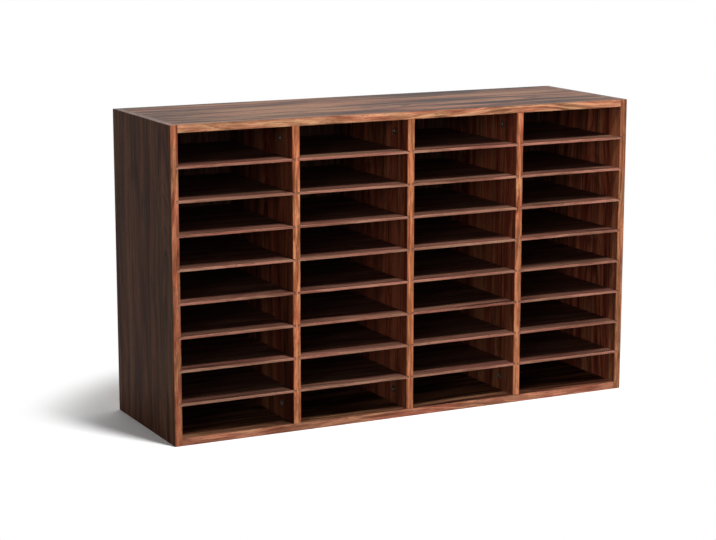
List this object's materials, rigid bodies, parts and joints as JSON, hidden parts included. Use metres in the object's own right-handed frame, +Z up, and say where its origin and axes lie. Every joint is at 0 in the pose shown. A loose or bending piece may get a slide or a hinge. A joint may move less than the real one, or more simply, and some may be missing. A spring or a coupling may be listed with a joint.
{
  "type": "pigeonhole mail sorter",
  "caption": "Wide open-fronted pigeonhole mail sorter with dark laminated boards, grooved uprights and thin loose shelves that slide out.",
  "frame": {"origin": "middle of the footprint, on the surface that the sorter stands on", "axes": "+Z up, +X to the right along the width, +Y to the back; the open side faces -Y"},
  "size_m": [1.003, 0.305, 0.61],
  "materials": {
    "case_laminate": "dark wood-grain melamine on particle board, satin",
    "edge_band": "wood-grain edge band, satin",
    "shelf_laminate": "dark wood-grain foil on thin fibreboard, satin",
    "back_hardboard": "hardboard with a printed wood grain inside and bare fibre behind, matt",
    "cam_zinc": "plain die-cast zinc, satin",
    "bolt_steel": "zinc-plated steel",
    "dowel_beech": "plain beech",
    "nail_steel": "bright steel"
  },
  "bodies": {
    "case": {"left_side_panel": "case_laminate", "right_side_panel": "case_laminate", "bottom_panel": "case_laminate", "top_panel": "case_laminate", "divider_left": "case_laminate", "divider_centre": "case_laminate", "divider_right": "case_laminate", "left_side_edge_band": "edge_band", "right_side_edge_band": "edge_band", "bottom_edge_band": "edge_band", "top_edge_band": "edge_band", "divider_left_edge_band": "edge_band", "divider_centre_edge_band": "edge_band", "divider_right_edge_band": "edge_band", "left_side_top_band": "edge_band", "right_side_top_band": "edge_band", "back_panel_left": "back_hardboard", "back_panel_right": "back_hardboard", "cam_locks": "cam_zinc", "cam_bolts": "bolt_steel", "wood_dowels": "dowel_beech", "back_panel_nails": "nail_steel"},
    "shelf_c1_r1_board": {"shelf_c1_r1": "shelf_laminate"},
    "shelf_c1_r2_board": {"shelf_c1_r2": "shelf_laminate"},
    "shelf_c1_r3_board": {"shelf_c1_r3": "shelf_laminate"},
    "shelf_c1_r4_board": {"shelf_c1_r4": "shelf_laminate"},
    "shelf_c1_r5_board": {"shelf_c1_r5": "shelf_laminate"},
    "shelf_c1_r6_board": {"shelf_c1_r6": "shelf_laminate"},
    "shelf_c1_r7_board": {"shelf_c1_r7": "shelf_laminate"},
    "shelf_c1_r8_board": {"shelf_c1_r8": "shelf_laminate"},
    "shelf_c2_r1_board": {"shelf_c2_r1": "shelf_laminate"},
    "shelf_c2_r2_board": {"shelf_c2_r2": "shelf_laminate"},
    "shelf_c2_r3_board": {"shelf_c2_r3": "shelf_laminate"},
    "shelf_c2_r4_board": {"shelf_c2_r4": "shelf_laminate"},
    "shelf_c2_r5_board": {"shelf_c2_r5": "shelf_laminate"},
    "shelf_c2_r6_board": {"shelf_c2_r6": "shelf_laminate"},
    "shelf_c2_r7_board": {"shelf_c2_r7": "shelf_laminate"},
    "shelf_c2_r8_board": {"shelf_c2_r8": "shelf_laminate"},
    "shelf_c3_r1_board": {"shelf_c3_r1": "shelf_laminate"},
    "shelf_c3_r2_board": {"shelf_c3_r2": "shelf_laminate"},
    "shelf_c3_r3_board": {"shelf_c3_r3": "shelf_laminate"},
    "shelf_c3_r4_board": {"shelf_c3_r4": "shelf_laminate"},
    "shelf_c3_r5_board": {"shelf_c3_r5": "shelf_laminate"},
    "shelf_c3_r6_board": {"shelf_c3_r6": "shelf_laminate"},
    "shelf_c3_r7_board": {"shelf_c3_r7": "shelf_laminate"},
    "shelf_c3_r8_board": {"shelf_c3_r8": "shelf_laminate"},
    "shelf_c4_r1_board": {"shelf_c4_r1": "shelf_laminate"},
    "shelf_c4_r2_board": {"shelf_c4_r2": "shelf_laminate"},
    "shelf_c4_r3_board": {"shelf_c4_r3": "shelf_laminate"},
    "shelf_c4_r4_board": {"shelf_c4_r4": "shelf_laminate"},
    "shelf_c4_r5_board": {"shelf_c4_r5": "shelf_laminate"},
    "shelf_c4_r6_board": {"shelf_c4_r6": "shelf_laminate"},
    "shelf_c4_r7_board": {"shelf_c4_r7": "shelf_laminate"},
    "shelf_c4_r8_board": {"shelf_c4_r8": "shelf_laminate"}
  },
  "joints": [
    {"name": "shelf_c1_r1_slide", "type": "slide", "parent": "case", "child": "shelf_c1_r1_board", "axis": [0, -1, 0], "range_m": [0, 0.295]},
    {"name": "shelf_c1_r2_slide", "type": "slide", "parent": "case", "child": "shelf_c1_r2_board", "axis": [0, -1, 0], "range_m": [0, 0.295]},
    {"name": "shelf_c1_r3_slide", "type": "slide", "parent": "case", "child": "shelf_c1_r3_board", "axis": [0, -1, 0], "range_m": [0, 0.295]},
    {"name": "shelf_c1_r4_slide", "type": "slide", "parent": "case", "child": "shelf_c1_r4_board", "axis": [0, -1, 0], "range_m": [0, 0.295]},
    {"name": "shelf_c1_r5_slide", "type": "slide", "parent": "case", "child": "shelf_c1_r5_board", "axis": [0, -1, 0], "range_m": [0, 0.295]},
    {"name": "shelf_c1_r6_slide", "type": "slide", "parent": "case", "child": "shelf_c1_r6_board", "axis": [0, -1, 0], "range_m": [0, 0.295]},
    {"name": "shelf_c1_r7_slide", "type": "slide", "parent": "case", "child": "shelf_c1_r7_board", "axis": [0, -1, 0], "range_m": [0, 0.295]},
    {"name": "shelf_c1_r8_slide", "type": "slide", "parent": "case", "child": "shelf_c1_r8_board", "axis": [0, -1, 0], "range_m": [0, 0.295]},
    {"name": "shelf_c2_r1_slide", "type": "slide", "parent": "case", "child": "shelf_c2_r1_board", "axis": [0, -1, 0], "range_m": [0, 0.295]},
    {"name": "shelf_c2_r2_slide", "type": "slide", "parent": "case", "child": "shelf_c2_r2_board", "axis": [0, -1, 0], "range_m": [0, 0.295]},
    {"name": "shelf_c2_r3_slide", "type": "slide", "parent": "case", "child": "shelf_c2_r3_board", "axis": [0, -1, 0], "range_m": [0, 0.295]},
    {"name": "shelf_c2_r4_slide", "type": "slide", "parent": "case", "child": "shelf_c2_r4_board", "axis": [0, -1, 0], "range_m": [0, 0.295]},
    {"name": "shelf_c2_r5_slide", "type": "slide", "parent": "case", "child": "shelf_c2_r5_board", "axis": [0, -1, 0], "range_m": [0, 0.295]},
    {"name": "shelf_c2_r6_slide", "type": "slide", "parent": "case", "child": "shelf_c2_r6_board", "axis": [0, -1, 0], "range_m": [0, 0.295]},
    {"name": "shelf_c2_r7_slide", "type": "slide", "parent": "case", "child": "shelf_c2_r7_board", "axis": [0, -1, 0], "range_m": [0, 0.295]},
    {"name": "shelf_c2_r8_slide", "type": "slide", "parent": "case", "child": "shelf_c2_r8_board", "axis": [0, -1, 0], "range_m": [0, 0.295]},
    {"name": "shelf_c3_r1_slide", "type": "slide", "parent": "case", "child": "shelf_c3_r1_board", "axis": [0, -1, 0], "range_m": [0, 0.295]},
    {"name": "shelf_c3_r2_slide", "type": "slide", "parent": "case", "child": "shelf_c3_r2_board", "axis": [0, -1, 0], "range_m": [0, 0.295]},
    {"name": "shelf_c3_r3_slide", "type": "slide", "parent": "case", "child": "shelf_c3_r3_board", "axis": [0, -1, 0], "range_m": [0, 0.295]},
    {"name": "shelf_c3_r4_slide", "type": "slide", "parent": "case", "child": "shelf_c3_r4_board", "axis": [0, -1, 0], "range_m": [0, 0.295]},
    {"name": "shelf_c3_r5_slide", "type": "slide", "parent": "case", "child": "shelf_c3_r5_board", "axis": [0, -1, 0], "range_m": [0, 0.295]},
    {"name": "shelf_c3_r6_slide", "type": "slide", "parent": "case", "child": "shelf_c3_r6_board", "axis": [0, -1, 0], "range_m": [0, 0.295]},
    {"name": "shelf_c3_r7_slide", "type": "slide", "parent": "case", "child": "shelf_c3_r7_board", "axis": [0, -1, 0], "range_m": [0, 0.295]},
    {"name": "shelf_c3_r8_slide", "type": "slide", "parent": "case", "child": "shelf_c3_r8_board", "axis": [0, -1, 0], "range_m": [0, 0.295]},
    {"name": "shelf_c4_r1_slide", "type": "slide", "parent": "case", "child": "shelf_c4_r1_board", "axis": [0, -1, 0], "range_m": [0, 0.295]},
    {"name": "shelf_c4_r2_slide", "type": "slide", "parent": "case", "child": "shelf_c4_r2_board", "axis": [0, -1, 0], "range_m": [0, 0.295]},
    {"name": "shelf_c4_r3_slide", "type": "slide", "parent": "case", "child": "shelf_c4_r3_board", "axis": [0, -1, 0], "range_m": [0, 0.295]},
    {"name": "shelf_c4_r4_slide", "type": "slide", "parent": "case", "child": "shelf_c4_r4_board", "axis": [0, -1, 0], "range_m": [0, 0.295]},
    {"name": "shelf_c4_r5_slide", "type": "slide", "parent": "case", "child": "shelf_c4_r5_board", "axis": [0, -1, 0], "range_m": [0, 0.295]},
    {"name": "shelf_c4_r6_slide", "type": "slide", "parent": "case", "child": "shelf_c4_r6_board", "axis": [0, -1, 0], "range_m": [0, 0.295]},
    {"name": "shelf_c4_r7_slide", "type": "slide", "parent": "case", "child": "shelf_c4_r7_board", "axis": [0, -1, 0], "range_m": [0, 0.295]},
    {"name": "shelf_c4_r8_slide", "type": "slide", "parent": "case", "child": "shelf_c4_r8_board", "axis": [0, -1, 0], "range_m": [0, 0.295]}
  ]
}
